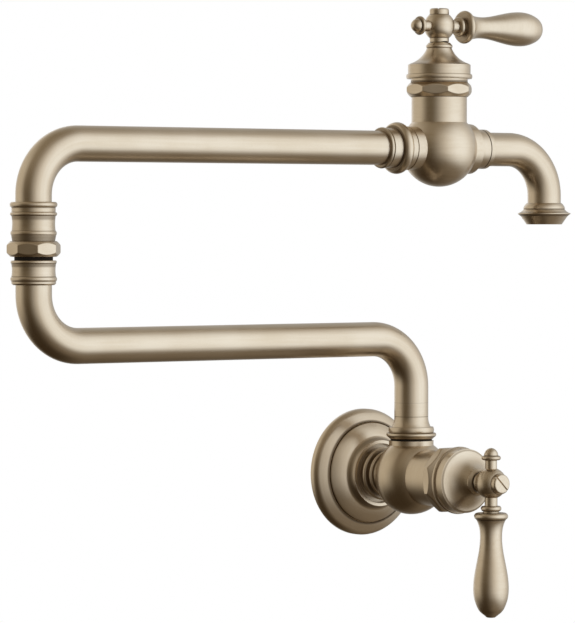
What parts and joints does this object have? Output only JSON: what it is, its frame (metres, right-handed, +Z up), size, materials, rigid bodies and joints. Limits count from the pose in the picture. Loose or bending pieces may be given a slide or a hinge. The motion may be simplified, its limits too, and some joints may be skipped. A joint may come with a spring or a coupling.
{
  "type": "wall mounted pot filler",
  "caption": "Traditional wall mounted pot filler: two swivelling bent tube arms, a ball shaped valve at each end with a pear shaped lever, and a short downturned spout.",
  "frame": {"origin": "centre of the wall flange's back face, on the wall plane and the inlet's axis", "axes": "+Z up, +Y out of the flange's back into the wall, +X along the wall to the right for someone who faces it"},
  "size_m": [0.3721, 0.1282, 0.3356],
  "materials": {
    "champagne_bronze": "warm champagne bronze plating, finely brushed round every turned form",
    "raw_brass": "plain machined brass, inside only",
    "rubber_seals": "smooth black nitrile rubber",
    "white_bearing_plastic": "smooth off-white acetal",
    "black_bearing_plastic": "smooth black acetal",
    "ceramic_discs": null,
    "stainless_steel": "plain stainless steel"
  },
  "bodies": {
    "wall_body": {"wall_flange": "champagne_bronze", "flange_gasket": "rubber_seals", "inlet_shank": "raw_brass", "flange_ring_nut": "champagne_bronze", "wall_valve_body": "champagne_bronze", "riser_post": "raw_brass", "riser_o_rings": "rubber_seals", "riser_washer": "black_bearing_plastic", "wall_cartridge_body": "raw_brass", "wall_cartridge_o_ring": "rubber_seals", "wall_cartridge_seal": "rubber_seals", "wall_fixed_disc": "ceramic_discs", "wall_bonnet_nut": "champagne_bronze", "wall_trim_ring": "champagne_bronze", "wall_bell_bonnet": "champagne_bronze", "wall_bell_top_ring": "champagne_bronze"},
    "wall_lever": {"wall_turning_disc": "ceramic_discs", "wall_valve_stem": "raw_brass", "wall_lever_hub": "champagne_bronze", "wall_lever_screw": "champagne_bronze", "wall_lever_ring": "champagne_bronze", "wall_lever_grip": "champagne_bronze", "wall_lever_finial": "champagne_bronze"},
    "lower_arm": {"riser_collar": "champagne_bronze", "riser_set_screw": "stainless_steel", "riser_ferrule": "champagne_bronze", "lower_arm_tube": "champagne_bronze", "lower_joint_sleeve": "champagne_bronze", "joint_post": "raw_brass", "joint_o_rings": "rubber_seals", "joint_bearing_washer": "black_bearing_plastic"},
    "upper_arm": {"joint_thrust_washer": "white_bearing_plastic", "joint_nut": "champagne_bronze", "upper_joint_sleeve": "champagne_bronze", "upper_arm_tube": "champagne_bronze", "arm_ferrule": "champagne_bronze", "arm_union_ring": "champagne_bronze", "spout_valve_body": "champagne_bronze", "spout_collar": "champagne_bronze", "spout_tube": "champagne_bronze", "outlet_ring": "champagne_bronze", "outlet_gasket": "rubber_seals", "aerator_housing": "white_bearing_plastic", "aerator_screen": "stainless_steel", "spout_cartridge_body": "raw_brass", "spout_cartridge_o_ring": "rubber_seals", "spout_cartridge_seal": "rubber_seals", "spout_fixed_disc": "ceramic_discs", "spout_bonnet_nut": "champagne_bronze", "spout_trim_ring": "champagne_bronze", "spout_bell_bonnet": "champagne_bronze", "spout_bell_top_ring": "champagne_bronze"},
    "spout_lever": {"spout_turning_disc": "ceramic_discs", "spout_valve_stem": "raw_brass", "spout_lever_hub": "champagne_bronze", "spout_lever_screw": "champagne_bronze", "spout_lever_ring": "champagne_bronze", "spout_lever_grip": "champagne_bronze", "spout_lever_finial": "champagne_bronze"}
  },
  "joints": [
    {"name": "arm_swing", "type": "hinge", "parent": "wall_body", "child": "lower_arm", "pos_m": [0, -0.0467, 0.0305], "axis": [0, 0, 1], "range_deg": [0, 180]},
    {"name": "elbow_swing", "type": "hinge", "parent": "lower_arm", "child": "upper_arm", "pos_m": [-0.2478, -0.0467, 0.1283], "axis": [0, 0, 1], "continuous": true},
    {"name": "wall_lever_turn", "type": "hinge", "parent": "wall_body", "child": "wall_lever", "pos_m": [0, -0.118, 0], "axis": [0, -1, 0], "range_deg": [0, 90]},
    {"name": "spout_lever_turn", "type": "hinge", "parent": "upper_arm", "child": "spout_lever", "pos_m": [0.0196, -0.0467, 0.2535], "axis": [0, 0, 1], "range_deg": [-90, 0]}
  ]
}
